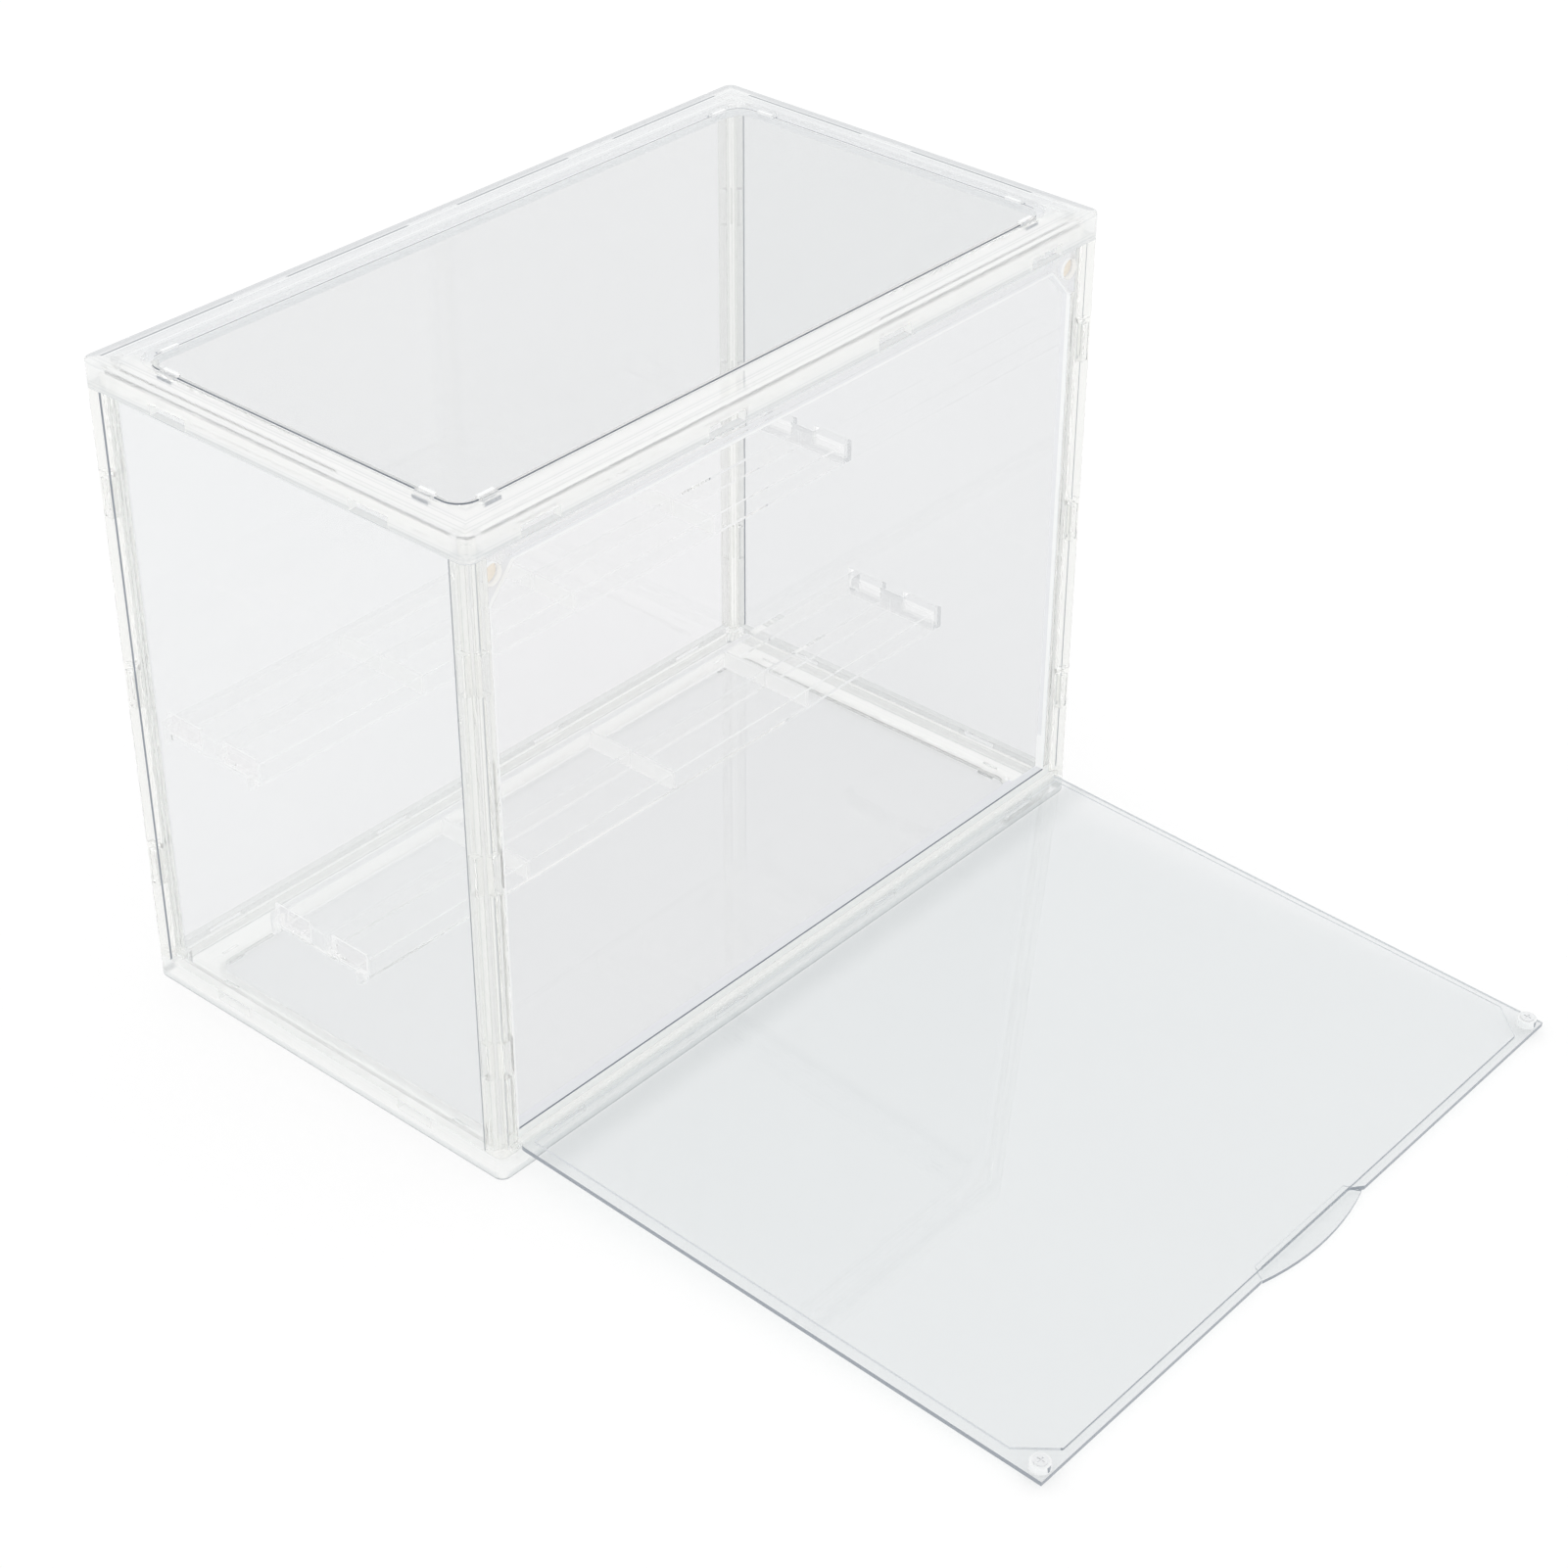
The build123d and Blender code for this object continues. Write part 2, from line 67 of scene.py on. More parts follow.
# Windows of the frames, and the slots and spring tabs of the top frame, below its top.
WINDOW_WALL = 0.0035
WINDOWS_HALF_LENGTH = 0.150
WINDOWS_HALF_DEPTH = 0.083
SLOT_SETBACK = 0.002
SLOT_REACH = 0.0008
SLOT_LEVEL = 0.0032
SLOT_HALF_HEIGHT = 0.0012
TAB_MARGIN = 0.0001
TAB_SKIN = 0.0015

# How much painted shade greys the right and back rails and hides what is behind them: on top, how
# much more below, and how much less of it at the corners. Then the painted lines along them, by
# their depth inside the outline.
TOP_PAINTED_SHADE = 0.55
BELOW_PAINTED_SHADE = 0.35
CORNER_LOSS = 0.45
RIM_WIDTH = 0.0034
DARK_LINE = 0.0046
DARK_LINE_REACH = 0.00034
DARK_LINE_PITCH = 0.04
DARK_LINE_GAP = 0.012
LIGHT_LINES = (0.0055, 0.0104)
LIGHT_LINE_REACH = 0.0004

# Posts.
POST_END = FRAME_HEIGHT + 0.0005
POST_LIP_X = HALF_LENGTH - 0.0008
POST_LIP_Y = HALF_DEPTH - 0.0075
GROOVE_X = HALF_LENGTH - 0.0059
GROOVE_Y = HALF_DEPTH - 0.0033
GROOVE_REACH_X = 0.0006
GROOVE_REACH_Y = 0.00025

# Door stop frame. The dark strip of painted shade is as wide on its sill as on the top sheet's edge.
STOP_BACK = -0.0841
STOP_FRONT = -0.0859
SILL_TOP = 0.015
SILL_REACH = 0.005
LIP_START = 0.03
SILL_FOOT = 0.0001
DARK_STRIP = 0.0006

# Door, lying open in front of the case.
BEAD_FRONT = -0.0893
BOSS_CENTRE = (0.1444, -0.3063, 0.0)
BOSS_REACH = 0.0038
DOOR_SIDE = -0.1487
DOOR_END = -0.3099
NOTCH_FLOOR = -0.307
NOTCH_HALF_LENGTH = 0.138
CONTACT_SHADE_START = (-0.113, -0.1005)
CONTACT_SHADE_END = (-0.0992, -0.0965)

# Shelves.
HOOKS_X = 0.1518
RIBS_HALF_LENGTH = 0.148

# A face looks along an axis where its direction has more than this share along it.
LEANING = 0.5
SLOPING = 0.3
SQUARE = 0.9

# Patterns: drift of the tint, drawn lines, fine lines beside an arris and the grain of metal.
DRIFT_SIZE = 0.09
DRIFT_DETAIL = 2.0
DRIFT_DEPTH = 0.985
LINE_SIZE = 0.0011
LINE_DETAIL = 1.0
LINE_START = 0.52
LINE_FULL = 0.66
ARRIS_REACH = 0.0004
ARRIS_SAMPLES = 4
ARRIS_STRENGTH = 4.0
GRAIN_SIZE = 0.0008
GRAIN_DETAIL = 3.0
GRAIN_DEPTH = 0.88

# How much light bends: in the sheets as in acrylic, and less in the mouldings and shelves, whose
# many thin walls would otherwise hide what is behind them.
ACRYLIC_IOR = 1.49
STOP_IOR = 1.2
MOULDING_IOR = 1.15
SHELF_IOR = 1.1

# Tones of edges.
# The dark edge is painted shade, laid along the top sheet's front and left edges and the front of the
# sill.
PAINTED_SHADE_EDGE = "#747a84"
SOFT_EDGE = "#9aa0a8"
CUT_EDGE = "#f6f7f7"

# Floor and light.
FLOOR_SIZE = 8.0
FLOOR_DROP = 0.0003
LAMP_STRENGTH = 1.02
WALLS_CROSSED = 32
REFLECTIONS = 16


def linear(hex_colour):
    """The linear colour of an sRGB hex value such as "#f4f6f8"."""
    parts = [int(hex_colour[i : i + 2], 16) / 255 for i in (1, 3, 5)]
    return [p / 12.92 if p <= 0.04045 else ((p + 0.055) / 1.055) ** 2.4 for p in parts] + [1.0]


def darkened(hex_colour, share):
    """The linear colour of an sRGB hex value, darkened to this share."""
    return [channel * share for channel in linear(hex_colour)[:3]] + [1.0]


def add_node(tree, kind, inputs=(), **settings):
    """Adds a node with its own settings. inputs are a list in order, or named or numbered ones. Each
    is a value, an output of another node, or another node, which stands for its first output."""
    made = tree.nodes.new(kind)
    for name, value in settings.items():
        setattr(made, name, value)
    for key, value in inputs.items() if isinstance(inputs, dict) else enumerate(inputs):
        if isinstance(value, bpy.types.Node):
            value = value.outputs[0]
        if isinstance(value, bpy.types.NodeSocket):
            tree.links.new(value, made.inputs[key])
        else:
            made.inputs[key].default_value = value
    return made


def empty_material(name):
    """A new material and its node tree, with no nodes yet."""
    material = bpy.data.materials.new(name)
    material.use_nodes = True
    material.node_tree.nodes.clear()
    return material, material.node_tree


def read_skin(tree):
    """What the masks are made from, by name: the place and the direction of the skin along each axis,
    and the sizes of both, because the case is the same on both sides of its middle."""
    coordinates = add_node(tree, "ShaderNodeTexCoord")
    geometry = add_node(tree, "ShaderNodeNewGeometry")
    skin = {"place": coordinates.outputs["Object"], "normal": geometry.outputs["Normal"]}
    for prefix, vector in (("", skin["place"]), ("facing_", coordinates.outputs["Normal"])):
        parts = add_node(tree, "ShaderNodeSeparateXYZ", [vector])
        for axis, part in zip("xyz", parts.outputs):
            size = add_node(tree, "ShaderNodeMath", [part], operation="ABSOLUTE")
            skin[prefix + axis] = part
            skin["size_" + prefix + axis] = size.outputs[0]
    return skin


def all_of(tree, *masks):
    """The product of the masks, which is 1 where all of them are."""
    product = masks[0]
    for mask in masks[1:]:
        product = add_node(tree, "ShaderNodeMath", [product, mask], operation="MULTIPLY")
    return product


def any_of(tree, *masks):
    """The largest of the masks, which is 1 where any of them is."""
    largest = masks[0]
    for mask in masks[1:]:
        largest = add_node(tree, "ShaderNodeMath", [largest, mask], operation="MAXIMUM")
    return largest


def patch(tree, skin, **limits):
    """1 where the skin is within all these limits, elsewhere 0. A limit's name says what it limits
    and to which side, as over_size_x or under_z do."""
    sides = {"over": "GREATER_THAN", "under": "LESS_THAN"}
    tests = []
    for name, limit in limits.items():
        side, quantity = name.split("_", 1)
        test = add_node(tree, "ShaderNodeMath", [skin[quantity], limit], operation=sides[side])
        tests.append(test)
    return all_of(tree, *tests)


def near_outline(tree, skin, depth, **limits):
    """A patch less than this depth inside the outline of the case."""
    beside = patch(tree, skin, over_size_x=HALF_LENGTH - depth, **limits)
    before = patch(tree, skin, over_size_y=HALF_DEPTH - depth, **limits)
    return any_of(tree, beside, before)


def edge_of_level_sheet(tree, skin):
    """The sawn edges of a sheet that lies level."""
    return patch(tree, skin, under_size_facing_z=LEANING)


def edge_of_side_sheet(tree, skin):
    """The sawn edges of a sheet that stands at the left or the right."""
    return patch(tree, skin, under_size_facing_x=LEANING)


def edge_of_front_sheet(tree, skin):
    """The sawn edges of a sheet that stands at the front or the back."""
    return patch(tree, skin, under_size_facing_y=LEANING)


def near_arris(tree, skin):
    """The skin beside an arris, whose small radius bends light away from the eye."""
    rounded = add_node(tree, "ShaderNodeBevel", {"Radius": ARRIS_REACH}, samples=ARRIS_SAMPLES)
    turned = add_node(tree, "ShaderNodeVectorMath", [rounded, skin["normal"]], operation="DOT_PRODUCT")
    same = add_node(tree, "ShaderNodeMath", [turned.outputs["Value"]], operation="ABSOLUTE")
    bent = add_node(tree, "ShaderNodeMath", [1.0, same], operation="SUBTRACT")
    strong = add_node(tree, "ShaderNodeMath", [bent, ARRIS_STRENGTH], operation="MULTIPLY")
    return add_node(tree, "ShaderNodeMath", [strong, 1.0], operation="MINIMUM")


def drawn_lines(tree, section):
    """Faint lines about a millimetre apart, the same wherever the place in the section is the same."""
    pattern = {"Vector": section, "Scale": 1 / LINE_SIZE, "Detail": LINE_DETAIL}
    noise = add_node(tree, "ShaderNodeTexNoise", pattern)
    band = {"Value": noise, "From Min": LINE_START, "From Max": LINE_FULL}
    return add_node(tree, "ShaderNodeMapRange", band)


def lines_of_post(tree, skin):
    """Lines drawn along the height of a post."""
    return drawn_lines(tree, add_node(tree, "ShaderNodeCombineXYZ", [skin["x"], skin["y"]]))


def lines_of_rail(tree, skin):
    """Lines drawn along the rails, all the way round the frame."""
    from_side = add_node(tree, "ShaderNodeMath", [skin["size_x"], HALF_LENGTH], operation="SUBTRACT")
    from_front = add_node(tree, "ShaderNodeMath", [skin["size_y"], HALF_DEPTH], operation="SUBTRACT")
    inward = add_node(tree, "ShaderNodeMath", [from_side, from_front], operation="MAXIMUM")
    return drawn_lines(tree, add_node(tree, "ShaderNodeCombineXYZ", [inward, skin["z"]]))


def upper_edge_of_top_sheet(tree, skin):
    """The upper strip of the front and left edges and of the corner between them, where a dark strip of
    painted shade is laid.
    """
    forward = add_node(tree, "ShaderNodeMath", [skin["facing_x"], skin["facing_y"]], operation="ADD")
    return patch(
        tree,
        {**skin, "facing_right_and_back": forward},
        under_size_facing_z=LEANING,
        over_z=PANEL_TOP - DARK_STRIP,
        under_facing_right_and_back=-LEANING,
    )


def far_side(tree, skin):
    """The skin with its depth inside the nearer of the right and back outlines, and with lead, which
    is more than 0 where these are nearer than the left and front ones."""
    right = add_node(tree, "ShaderNodeMath", [HALF_LENGTH, skin["x"]], operation="SUBTRACT")
    behind = add_node(tree, "ShaderNodeMath", [HALF_DEPTH, skin["y"]], operation="SUBTRACT")
    left = add_node(tree, "ShaderNodeMath", [HALF_LENGTH, skin["x"]], operation="ADD")
    front = add_node(tree, "ShaderNodeMath", [HALF_DEPTH, skin["y"]], operation="ADD")
    depth = add_node(tree, "ShaderNodeMath", [right, behind], operation="MINIMUM")
    other = add_node(tree, "ShaderNodeMath", [left, front], operation="MINIMUM")
    lead = add_node(tree, "ShaderNodeMath", [other, depth], operation="SUBTRACT")
    return {**skin, "depth": depth, "lead": lead}


def far_rails(tree, skin):
    """The right and back rails, greyed by painted shade, more below their upper side and less at the
    corner blocks.
    """
    far = patch(tree, far_side(tree, skin), over_lead=0.0)
    below = patch(tree, skin, under_z=HEIGHT - TOP_SKIN)
    corner = patch(
        tree,
        skin,
        over_size_x=HALF_LENGTH - CORNER_LENGTH,
        over_size_y=HALF_DEPTH - CORNER_DEPTH,
    )
    painted_shade = add_node(tree, "ShaderNodeMath", [below, BELOW_PAINTED_SHADE, TOP_PAINTED_SHADE], operation="MULTIPLY_ADD")
    clearer = add_node(tree, "ShaderNodeMath", [corner, -CORNER_LOSS, 1.0], operation="MULTIPLY_ADD")
    return all_of(tree, far, painted_shade, clearer)


def far_rim(tree, skin):
    """The outer strip of the right and back rails, darkened with painted shade."""
    far = far_side(tree, skin)
    return patch(tree, far, over_lead=0.0, over_facing_z=SLOPING, under_depth=RIM_WIDTH)


def line_of_far_rails(tree, skin, middle, reach):
    """A line along the upper side of the right and back rails, this deep inside the outline."""
    return patch(
        tree,
        far_side(tree, skin),
        over_lead=0.0,
        over_facing_z=LEANING,
        over_z=HEIGHT - TOP_SKIN,
        over_depth=middle - reach,
        under_depth=middle + reach,
    )


def dark_line_of_far_rails(tree, skin):
    """A dark line of painted shade inside the rim, broken every few centimetres."""
    along = add_node(tree, "ShaderNodeMath", [skin["x"], skin["y"]], operation="ADD")
    swing = add_node(tree, "ShaderNodeMath", [along, DARK_LINE_PITCH], operation="PINGPONG")
    drawn = patch(tree, {"swing": swing}, over_swing=DARK_LINE_GAP)
    return all_of(tree, line_of_far_rails(tree, skin, DARK_LINE, DARK_LINE_REACH), drawn)


def light_lines_of_far_rails(tree, skin):
    """Painted highlights: the light lines, one beside the dark line and one nearer the opening."""
    lines = [line_of_far_rails(tree, skin, depth, LIGHT_LINE_REACH) for depth in LIGHT_LINES]
    return any_of(tree, *lines)


def ends_of_windows(tree, skin):
    """End walls of the windows in the skirts of a frame."""
    front = patch(
        tree,
        skin,
        over_size_facing_x=SQUARE,
        over_size_y=HALF_DEPTH - WINDOW_WALL,
        under_size_x=WINDOWS_HALF_LENGTH,
    )
    side = patch(
        tree,
        skin,
        over_size_facing_y=SQUARE,
        over_size_x=HALF_LENGTH - WINDOW_WALL,
        under_size_y=WINDOWS_HALF_DEPTH,
    )
    return any_of(tree, front, side)


def lower_edge_of_skirt(tree, skin):
    """The lower edge of the top frame's skirt."""
    return patch(tree, skin, under_z=HEIGHT - FRAME_HEIGHT + LOWER_EDGE)


def slots_of_rail(tree, skin):
    """Walls of the slots behind the spring tabs of the top frame."""
    slot_x = OPENING_X + SLOT_SETBACK
    slot_y = OPENING_Y + SLOT_SETBACK
    level = {
        "over_z": HEIGHT - SLOT_LEVEL - SLOT_HALF_HEIGHT,
        "under_z": HEIGHT - SLOT_LEVEL + SLOT_HALF_HEIGHT,
    }
    side = patch(
        tree,
        skin,
        over_size_facing_x=SQUARE,
        over_size_x=slot_x - SLOT_REACH,
        under_size_x=slot_x + SLOT_REACH,
        **level,
    )
    front = patch(
        tree,
        skin,
        over_size_facing_y=SQUARE,
        over_size_y=slot_y - SLOT_REACH,
        under_size_y=slot_y + SLOT_REACH,
        **level,
    )
    return any_of(tree, side, front)


def tabs_of_rail(tree, skin):
    """Upper sides of the spring tabs, the only part of the top frame inside its opening."""
    return patch(
        tree,
        skin,
        under_size_x=OPENING_X - TAB_MARGIN,
        under_size_y=OPENING_Y - TAB_MARGIN,
        over_facing_z=LEANING,
        over_z=HEIGHT - TAB_SKIN,
    )


def faces_of_skirt(tree, skin):
    """The outer and inner faces of the base frame's skirt."""
    return near_outline(tree, skin, SKIRT_FACES)


def top_of_flange(tree, skin):
    """The faces of the base frame that look up."""
    return patch(tree, skin, over_facing_z=LEANING, over_z=FLANGE_LEVEL)


def ledge_of_base(tree, skin):
    """The ledges under the front edge of the floor sheet."""
    return patch(
        tree,
        skin,
        under_size_x=LEDGE_HALF_LENGTH,
        over_y=LEDGE_Y - LEDGE_REACH,
        under_y=LEDGE_Y + LEDGE_REACH,
    )


def base_of_skirt(tree, skin):
    """The lowest few millimetres of the outer face of the base frame's skirt, darkened with painted
    shade near the floor.
    """
    return near_outline(tree, skin, OUTER_FACE, under_z=BASE_HEIGHT)


def foot_of_skirt(tree, skin):
    """The millimetre of the skirt beside the floor, painted dark as the shadow where it meets the
    floor.
    """
    return near_outline(tree, skin, FOOT_WIDTH, under_z=FOOT_HEIGHT)


def ends_of_post(tree, skin):
    """The ends of a post inside the frames, with its spigots."""
    lower = patch(tree, skin, over_size_facing_z=SQUARE, under_z=POST_END)
    upper = patch(tree, skin, over_size_facing_z=SQUARE, over_z=HEIGHT - POST_END)
    return any_of(tree, lower, upper)


def lips_of_post(tree, skin):
    """The outer strip of the lips that hold the side sheets."""
    return patch(tree, skin, over_size_facing_y=SQUARE, over_size_x=POST_LIP_X, under_size_y=POST_LIP_Y)


def groove_of_post(tree, skin):
    """The outer part of the end wall of the groove for the stop frame or the back sheet."""
    return patch(
        tree,
        skin,
        over_size_facing_x=SQUARE,
        over_size_x=GROOVE_X - GROOVE_REACH_X,
        under_size_x=GROOVE_X + GROOVE_REACH_X,
        over_size_y=GROOVE_Y - GROOVE_REACH_Y,
        under_size_y=GROOVE_Y + GROOVE_REACH_Y,
    )


def lip_of_stop(tree, skin):
    """The faces across the return lip of the stop frame."""
    return patch(tree, skin, under_size_facing_y=LEANING, over_y=STOP_BACK, over_z=LIP_START)


def foot_of_stop(tree, skin):
    """The stop frame below the top of its sill."""
    return patch(tree, skin, under_z=SILL_TOP - SILL_FOOT)


def top_of_sill(tree, skin):
    """The upper side of the sill."""
    return patch(tree, skin, over_facing_z=LEANING, under_z=SILL_TOP + SILL_REACH)


def front_of_sill(tree, skin):
    """The front strip of the upper side of the sill, where a dark line of painted shade is laid."""
    front = STOP_FRONT + DARK_STRIP
    return patch(tree, skin, over_facing_z=LEANING, under_z=SILL_TOP + SILL_REACH, under_y=front)


def bead_of_door(tree, skin):
    """The hinge bead along the door."""
    return patch(tree, skin, over_y=BEAD_FRONT)


def bosses_of_door(tree, skin):
    """The bosses round the screws."""
    flat = add_node(tree, "ShaderNodeCombineXYZ", [skin["size_x"], skin["y"]])
    away = add_node(tree, "ShaderNodeVectorMath", [flat, BOSS_CENTRE], operation="DISTANCE")
    return patch(tree, {"away": away.outputs["Value"]}, under_away=BOSS_REACH)


def sides_of_door(tree, skin):
    """The left edge and the free edge of the door, with the floor of its notch."""
    left = patch(tree, skin, under_facing_x=-LEANING, under_x=DOOR_SIDE)
    free = patch(tree, skin, under_facing_y=-LEANING, under_y=DOOR_END)
    notch = patch(
        tree, skin, under_facing_y=-LEANING, under_y=NOTCH_FLOOR, under_size_x=NOTCH_HALF_LENGTH
    )
    return any_of(tree, left, free, notch)


def contact_shade(tree, skin):
    """The strip of the open door through which the foot of the front rail is seen, painted with the
    shadow at that foot, where little light gets in. It fades at both sides."""
    fades = []
    for (start, end), first in ((CONTACT_SHADE_START, 0.0), (CONTACT_SHADE_END, 1.0)):
        limits = {"From Min": start, "From Max": end, "To Min": first, "To Max": 1 - first}
        fade = {"Value": skin["y"], **limits}
        fades.append(add_node(tree, "ShaderNodeMapRange", fade, interpolation_type="SMOOTHSTEP"))
    return all_of(tree, *fades)


def right_hooks(tree, skin):
    """The hooks at the right end of a shelf, whose tint makes up for the sheet cut away round them."""
    return patch(tree, skin, over_x=HOOKS_X)


def ribs_of_shelf(tree, skin):
    """The upright faces of the cross ribs under a shelf."""
    return patch(tree, skin, over_size_facing_x=SQUARE, under_size_x=RIBS_HALF_LENGTH)


def tint(mask, tone, hiding=0.0):
    """A layer that colours what shows through the plastic, and may hide some of it."""
    return mask, tone, 1.0, hiding


def veil(mask, tone, strength=1.0):
    """A layer that lies on the plastic and hides what is behind it by its strength."""
    return mask, tone, strength, strength


def clear_plastic(name, tone, layers, shadow="#fdfdfd", ior=ACRYLIC_IOR, transmission=1.0):
    """See-through plastic in this tone. A layer is a mask, a tone, how strongly it colours and how
    strongly it hides. For the lamps the plastic is a plain filter in the shadow's tone, which lets
    light into the case and keeps its shadow pale."""
    material, tree = empty_material(name)
    skin = read_skin(tree)
    # A slow drift over a few centimetres keeps a piece from being one flat value.
    pattern = {"Vector": skin["place"], "Scale": 1 / DRIFT_SIZE, "Detail": DRIFT_DETAIL}
    drift = add_node(tree, "ShaderNodeTexNoise", pattern)
    # A Mix node has its share in input 0, its colours in inputs 6 and 7 and its result in output 2.
    colours = {0: drift, 6: linear(tone), 7: darkened(tone, DRIFT_DEPTH)}
    body = add_node(tree, "ShaderNodeMix", colours, data_type="RGBA").outputs[2]
    clear = transmission
    for find_mask, layer_tone, colouring, hiding in layers:
        mask = find_mask(tree, skin)
        share = add_node(tree, "ShaderNodeMath", [mask, colouring], operation="MULTIPLY")
        colours = {0: share, 6: body, 7: linear(layer_tone)}
        body = add_node(tree, "ShaderNodeMix", colours, data_type="RGBA").outputs[2]
        if hiding:
            seen = add_node(tree, "ShaderNodeMath", [mask, -hiding, 1.0], operation="MULTIPLY_ADD")
            clear = add_node(tree, "ShaderNodeMath", [clear, seen], operation="MULTIPLY")
    surface = {"Base Color": body, "Roughness": 0.0, "IOR": ior, "Transmission Weight": clear}
    plastic = add_node(tree, "ShaderNodeBsdfPrincipled", surface)
    filtered = add_node(tree, "ShaderNodeBsdfTransparent", {"Color": linear(shadow)})
    path = add_node(tree, "ShaderNodeLightPath").outputs
    lighting = any_of(tree, path["Is Shadow Ray"], path["Is Diffuse Ray"])
    both = add_node(tree, "ShaderNodeMixShader", [lighting, plastic, filtered])
    add_node(tree, "ShaderNodeOutputMaterial", {"Surface": both})
    return material


def metal(name, tone, roughness, metallic=1.0):
    """Plated metal, dulled here and there by a fine grain."""
    material, tree = empty_material(name)
    place = add_node(tree, "ShaderNodeTexCoord").outputs["Object"]
    pattern = {"Vector": place, "Scale": 1 / GRAIN_SIZE, "Detail": GRAIN_DETAIL}
    grain = add_node(tree, "ShaderNodeTexNoise", pattern)
    colours = {0: grain, 6: linear(tone), 7: darkened(tone, GRAIN_DEPTH)}
    body = add_node(tree, "ShaderNodeMix", colours, data_type="RGBA").outputs[2]
    surface = {"Base Color": body, "Roughness": roughness, "Metallic": metallic}
    face = add_node(tree, "ShaderNodeBsdfPrincipled", surface)
    add_node(tree, "ShaderNodeOutputMaterial", {"Surface": face})
    return material


# Acrylic sheet, polished on both sides and sawn to size: clear with a grey cast and frosted edges.
# A dark strip of painted shade along the top sheet's front and left edges frames it.
top_sheet = clear_plastic(
    "polished_top_sheet",
    "#f3f4f4",
    [veil(edge_of_level_sheet, CUT_EDGE), veil(upper_edge_of_top_sheet, PAINTED_SHADE_EDGE)],
)

# The floor sheet looks greyer, because it is seen through the other sheets; its darker tint is painted
# shade.
floor_sheet = clear_plastic("polished_floor_sheet", "#edeeef", [veil(edge_of_level_sheet, CUT_EDGE)])

# The left sheet hardly tints what is behind it, so that the near end of the case looks bright; this
# lighter tint of the same acrylic is painted light.
left_sheet = clear_plastic("polished_left_sheet", "#fdfefe", [veil(edge_of_side_sheet, CUT_EDGE)])

# The right and back sheets give the inside of the case its light grey ground; the right sheet's darker
# tint of the same acrylic is painted shade.
right_sheet = clear_plastic("polished_right_sheet", "#ecedee", [veil(edge_of_side_sheet, CUT_EDGE)])
back_sheet = clear_plastic("polished_back_sheet", "#f2f2f3", [veil(edge_of_front_sheet, CUT_EDGE)])

# The acrylic round the door opening is almost clear, with a pale lip and sill and a dark line of
# painted shade along the front of the sill.
stop_sheet = clear_plastic(
    "polished_stop_sheet",
    "#fbfbfb",
    [
        tint(near_arris, "#e6e8e9"),
        veil(edge_of_front_sheet, "#fafbfb"),
        veil(lip_of_stop, "#eff0f2"),
        veil(foot_of_stop, "#f0f1f0"),
        veil(top_of_sill, "#e3e5e8"),
        veil(front_of_sill, PAINTED_SHADE_EDGE),
    ],
    ior=STOP_IOR,
)

# The door's acrylic leaf looks cool grey on the white floor, with a milky bead, light bosses, grey
# lines along its left and free edges, and a painted shadow near the hinge.
door_sheet = clear_plastic(
    "polished_door_sheet",
    "#f2f3f4",
    [
        tint(contact_shade, "#e5e7e8"),
        veil(edge_of_level_sheet, "#d9dcdf"),
        veil(bead_of_door, "#f3f3f0", 0.6),
        veil(bosses_of_door, "#fafbfb", 0.8),
        veil(sides_of_door, SOFT_EDGE),
    ],
    shadow="#f9fafa",
)

# Clear plastic moulded in one piece: slightly milky and warm, with lines drawn along each rail. Its
# right and back rails are greyed by painted shade, with an outline and a dark line of painted shade
# and light lines of painted highlight of their own, and its tabs and slots stand out.
top_rail = clear_plastic(
    "moulded_top_rail",
    "#fefefd",
    [
        tint(lines_of_rail, "#f0f1f1"),
        tint(near_arris, "#d9dbdc"),
        veil(far_rails, "#e9ebed"),
        veil(far_rim, "#d5d7d9", 0.7),
        veil(light_lines_of_far_rails, "#f2f4f4"),
        veil(dark_line_of_far_rails, "#a9adb1"),
        veil(ends_of_windows, "#f3f4f3"),
        veil(lower_edge_of_skirt, "#dde0e1"),
        veil(slots_of_rail, SOFT_EDGE),
        veil(tabs_of_rail, "#fbfcfc"),
    ],
    ior=MOULDING_IOR,
    transmission=0.7,
)

# The same moulding under the case, with a lighter skirt and flange and a darker foot of painted
# shadow, which sets it down on the floor.
base_rail = clear_plastic(
    "moulded_base_rail",
    "#fdfdfc",
    [
        tint(lines_of_rail, "#f5f6f6"),
        tint(near_arris, "#d4d7d7"),
        veil(faces_of_skirt, "#f1f3f2", 0.4),
        veil(top_of_flange, "#f6f7f6", 0.45),
        veil(ledge_of_base, "#e6e7eb"),
        veil(ends_of_windows, "#f1f2f1"),
        veil(base_of_skirt, "#dfe2e3", 0.6),
        veil(foot_of_skirt, "#b6babc"),
    ],
    ior=MOULDING_IOR,
    transmission=0.75,
)

# The moulded posts are clearer than the rails, with lines drawn along their height and grey lines
# on their lips and in their grooves.
post_plastic = clear_plastic(
    "moulded_post",
    "#f9f9f7",
    [
        tint(lines_of_post, "#f6f7f5"),
        tint(near_arris, "#cfd2d2"),
        veil(ends_of_post, "#f5f5f3"),
        veil(lips_of_post, SOFT_EDGE),
        veil(groove_of_post, "#b4b8bc"),
    ],
    ior=MOULDING_IOR,
    transmission=0.8,
)

# The moulded shelves are all but invisible, except for white lines of painted highlight along their
# edges and a little milk on their ribs.
shelf_plastic = clear_plastic(
    "moulded_clear_shelf",
    "#fdfdfd",
    [
        tint(right_hooks, "#e9eaeb"),
        tint(near_arris, "#fdfefe", 0.7),
        veil(ribs_of_shelf, "#f4f5f4", 0.35),
    ],
    shadow="#fefefe",
    ior=SHELF_IOR,
    transmission=0.92,
)

# Nickel plated magnets look warm and dull through the gussets.
magnet_metal = metal("nickel_plated_magnet", "#f6eee2", 0.5, metallic=0.2)

# Plated steel screws look bright and satin on the door.
screw_metal = metal("plated_steel_screw", "#f8f9fa", 0.45)

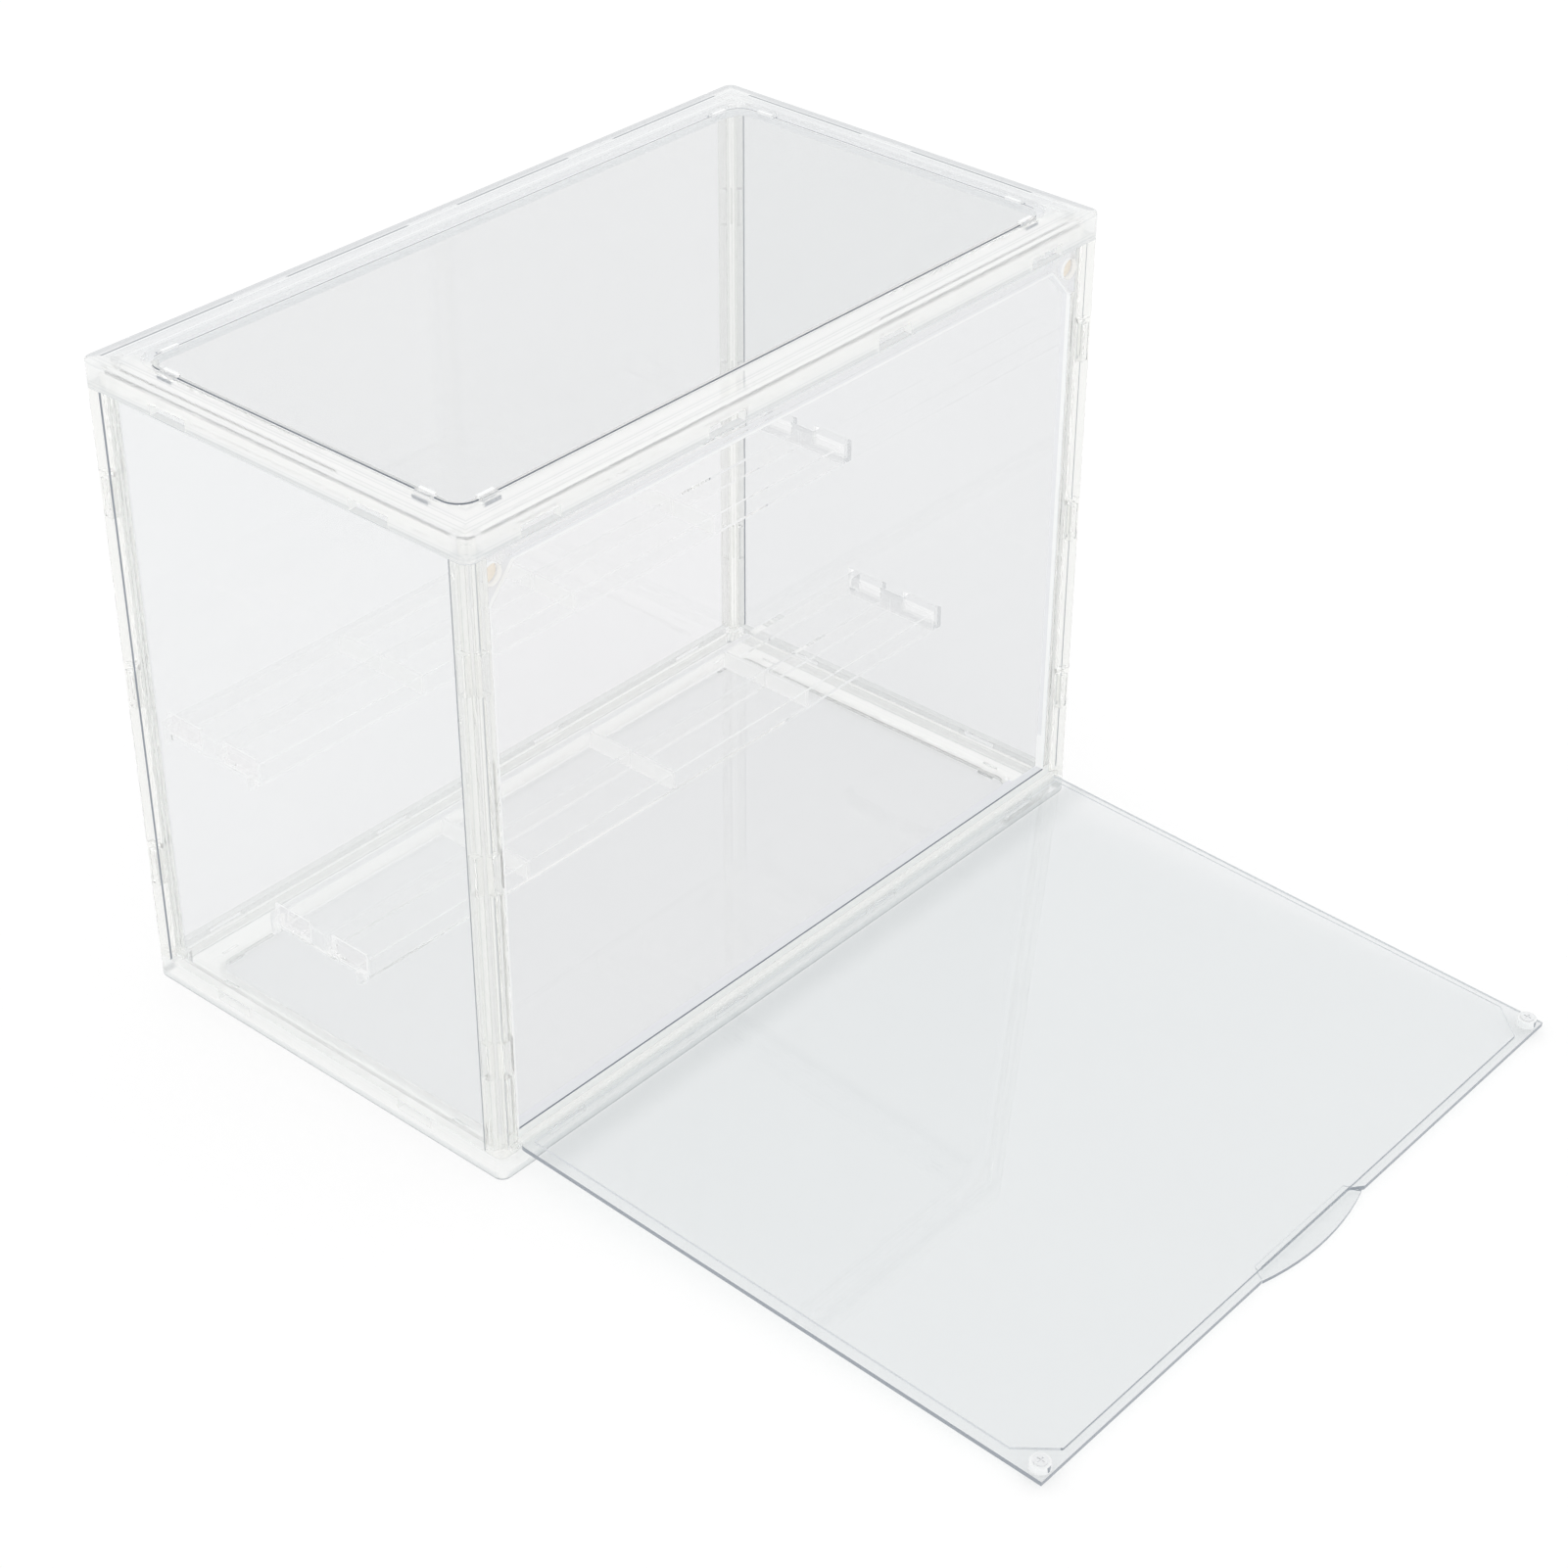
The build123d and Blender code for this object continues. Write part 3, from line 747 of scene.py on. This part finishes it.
FINISHES = {
    "base_frame": base_rail,
    "top_frame": top_rail,
    "post": post_plastic,
    "panel_top": top_sheet,
    "panel_bottom": floor_sheet,
    "panel_left": left_sheet,
    "panel_right": right_sheet,
    "panel_back": back_sheet,
    "door_stop_frame": stop_sheet,
    "door_panel": door_sheet,
    "shelf": shelf_plastic,
    "magnet": magnet_metal,
    "strike_screw": screw_metal,
}
for name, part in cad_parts.items():
    finish = next(FINISHES[key] for key in FINISHES if name.startswith(key))
    for slot in part.material_slots:
        slot.material = finish

# Floor of white paper just below the case, which keeps its pale shadow.
bpy.ops.mesh.primitive_plane_add(size=FLOOR_SIZE, location=(0, 0, -FLOOR_DROP))
floor = bpy.context.object
floor.name = "floor"
floor_material, tree = empty_material("white_paper_floor")
paper = add_node(tree, "ShaderNodeBsdfDiffuse", {"Color": linear("#ffffff")})
add_node(tree, "ShaderNodeOutputMaterial", {"Surface": paper})
floor.data.materials.append(floor_material)

# Soft white light from all round, shown as plain white to the eye, through plastic and in gloss.
world = bpy.data.worlds.new("white_studio")
bpy.context.scene.world = world
world.use_nodes = True
tree = world.node_tree
tree.nodes.clear()
path = add_node(tree, "ShaderNodeLightPath").outputs
seen = any_of(tree, path["Is Camera Ray"], path["Is Transmission Ray"], path["Is Glossy Ray"])
lit = add_node(tree, "ShaderNodeBackground", {"Color": linear("#ffffff"), "Strength": LAMP_STRENGTH})
shown = add_node(tree, "ShaderNodeBackground", {"Color": linear("#ffffff"), "Strength": 1.0})
both = add_node(tree, "ShaderNodeMixShader", [seen, lit, shown])
add_node(tree, "ShaderNodeOutputWorld", {"Surface": both})

# Camera.
azimuth = math.radians(CAMERA_AZIMUTH)
height = math.radians(CAMERA_HEIGHT)
roll = math.radians(CAMERA_ROLL)
back = Vector(
    (
        math.sin(azimuth) * math.cos(height),
        -math.cos(azimuth) * math.cos(height),
        math.sin(height),
    )
)
level_axis = (-back).cross(Vector((0, 0, 1))).normalized()
upright = level_axis.cross(-back)
right = level_axis * math.cos(roll) + upright * math.sin(roll)
up = upright * math.cos(roll) - level_axis * math.sin(roll)
camera_data = bpy.data.cameras.new("photo_camera")
camera_data.sensor_width = SENSOR_WIDTH
camera_data.lens = FOCAL_PIXELS * SENSOR_WIDTH / PHOTO_SIZE
camera_data.shift_x = -SHIFT_RIGHT_PIXELS / PHOTO_SIZE
camera_data.shift_y = SHIFT_DOWN_PIXELS / PHOTO_SIZE
camera_data.clip_start = CLIP_START
camera = bpy.data.objects.new("photo_camera", camera_data)
bpy.context.collection.objects.link(camera)
place = Vector(CAMERA_AIM) + back * CAMERA_DISTANCE
camera.matrix_world = Matrix(
    (
        (right.x, up.x, back.x, place.x),
        (right.y, up.y, back.y, place.y),
        (right.z, up.z, back.z, place.z),
        (0, 0, 0, 1),
    )
)
bpy.context.scene.camera = camera
bpy.context.scene.view_settings.view_transform = "Standard"

# Light crosses a score of clear walls on its way through a rail.
cycles = bpy.context.scene.cycles
cycles.max_bounces = WALLS_CROSSED
cycles.transmission_bounces = WALLS_CROSSED
cycles.transparent_max_bounces = WALLS_CROSSED
cycles.glossy_bounces = REFLECTIONS
